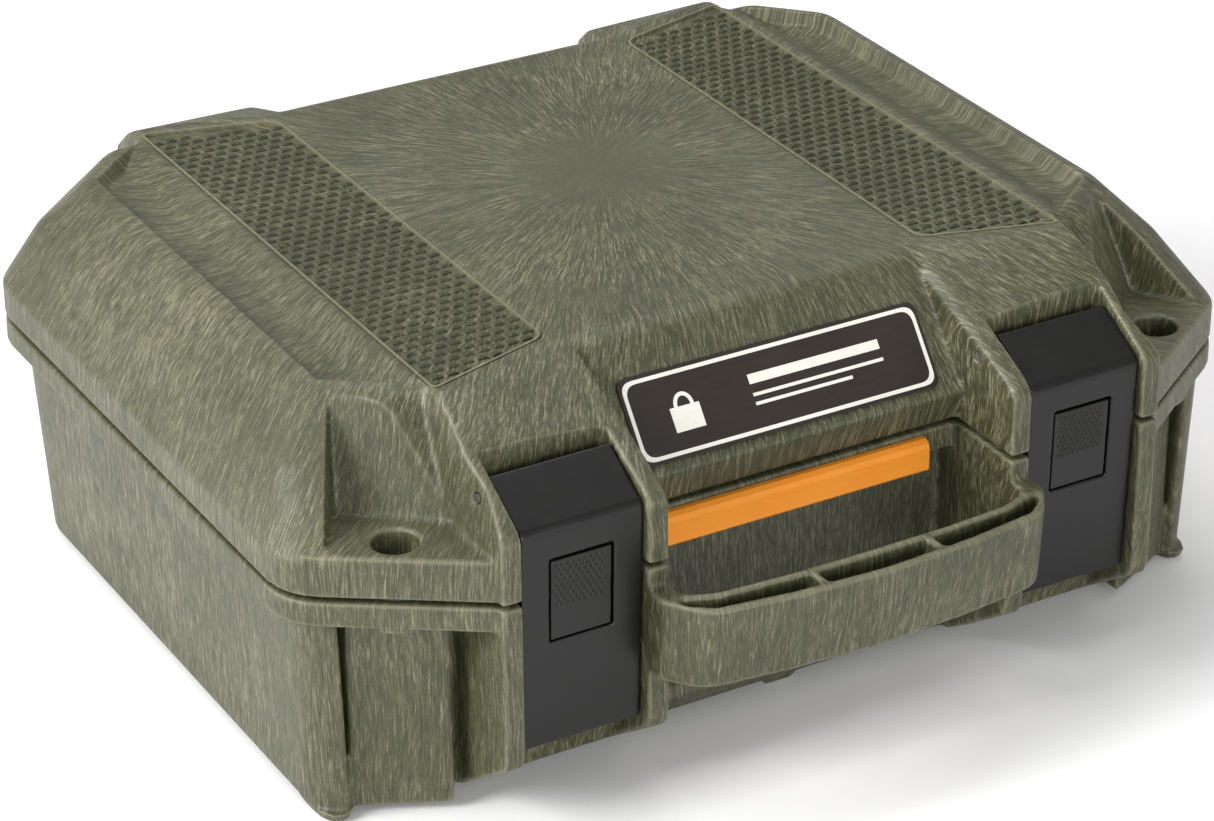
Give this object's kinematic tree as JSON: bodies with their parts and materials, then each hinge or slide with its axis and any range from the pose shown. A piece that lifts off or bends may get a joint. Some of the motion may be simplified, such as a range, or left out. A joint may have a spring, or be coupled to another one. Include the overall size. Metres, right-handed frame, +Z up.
{
  "type": "lockable pistol case",
  "caption": "Small hard carrying case for a handgun: two hinged moulded shells with foam, push-button front latches, a moulded handle and padlock holes.",
  "frame": {"origin": "on the floor under the middle of the closed case's box, handle and hinges included", "axes": "+X to the right seen from the handle side, +Y from the handle to the hinges, +Z up"},
  "size_m": [0.3306, 0.3029, 0.1253],
  "materials": {
    "olive_shell": "moulded olive-green plastic with a fibrous flow grain, satin",
    "black_latch": "satin warm-black moulded plastic",
    "orange_trim": "satin orange moulded plastic",
    "plate": "printed plate, dark field with a pale border, semi-gloss",
    "grey_foam": "open-cell charcoal foam",
    "seal_rubber": "matt black sealing cord",
    "pin_steel": "drawn stainless steel rod and wire"
  },
  "bodies": {
    "base": {"base_shell": "olive_shell", "lower_foam_pad": "grey_foam", "base_foam": "grey_foam", "rim_gasket": "seal_rubber", "front_trim_bar": "orange_trim", "left_hinge_pin": "pin_steel", "right_hinge_pin": "pin_steel"},
    "lid": {"lid_shell": "olive_shell", "lid_foam": "grey_foam", "name_plate": "plate", "left_latch_pin": "pin_steel", "right_latch_pin": "pin_steel"},
    "left_latch": {"left_latch_cover": "black_latch", "left_button_pin": "pin_steel", "left_button_spring": "pin_steel"},
    "right_latch": {"right_latch_cover": "black_latch", "right_button_pin": "pin_steel", "right_button_spring": "pin_steel"},
    "left_button": {"left_latch_button": "black_latch"},
    "right_button": {"right_latch_button": "black_latch"}
  },
  "joints": [
    {"name": "lid_hinge", "type": "hinge", "parent": "base", "child": "lid", "pos_m": [0, 0.1475, 0.0777], "axis": [-1, 0, 0], "range_deg": [0, 110]},
    {"name": "left_latch_pivot", "type": "hinge", "parent": "lid", "child": "left_latch", "pos_m": [-0.08715, -0.1063, 0.104], "axis": [-1, 0, 0], "range_deg": [0, 85]},
    {"name": "right_latch_pivot", "type": "hinge", "parent": "lid", "child": "right_latch", "pos_m": [0.08715, -0.1063, 0.104], "axis": [-1, 0, 0], "range_deg": [0, 85]},
    {"name": "left_button_press", "type": "hinge", "parent": "left_latch", "child": "left_button", "pos_m": [-0.08715, -0.1167, 0.0648], "axis": [-1, 0, 0], "range_deg": [0, 5], "stiffness_Nm_per_rad": 0.3, "springref_deg": -5.73},
    {"name": "right_button_press", "type": "hinge", "parent": "right_latch", "child": "right_button", "pos_m": [0.08715, -0.1167, 0.0648], "axis": [-1, 0, 0], "range_deg": [0, 5], "stiffness_Nm_per_rad": 0.3, "springref_deg": -5.73}
  ]
}
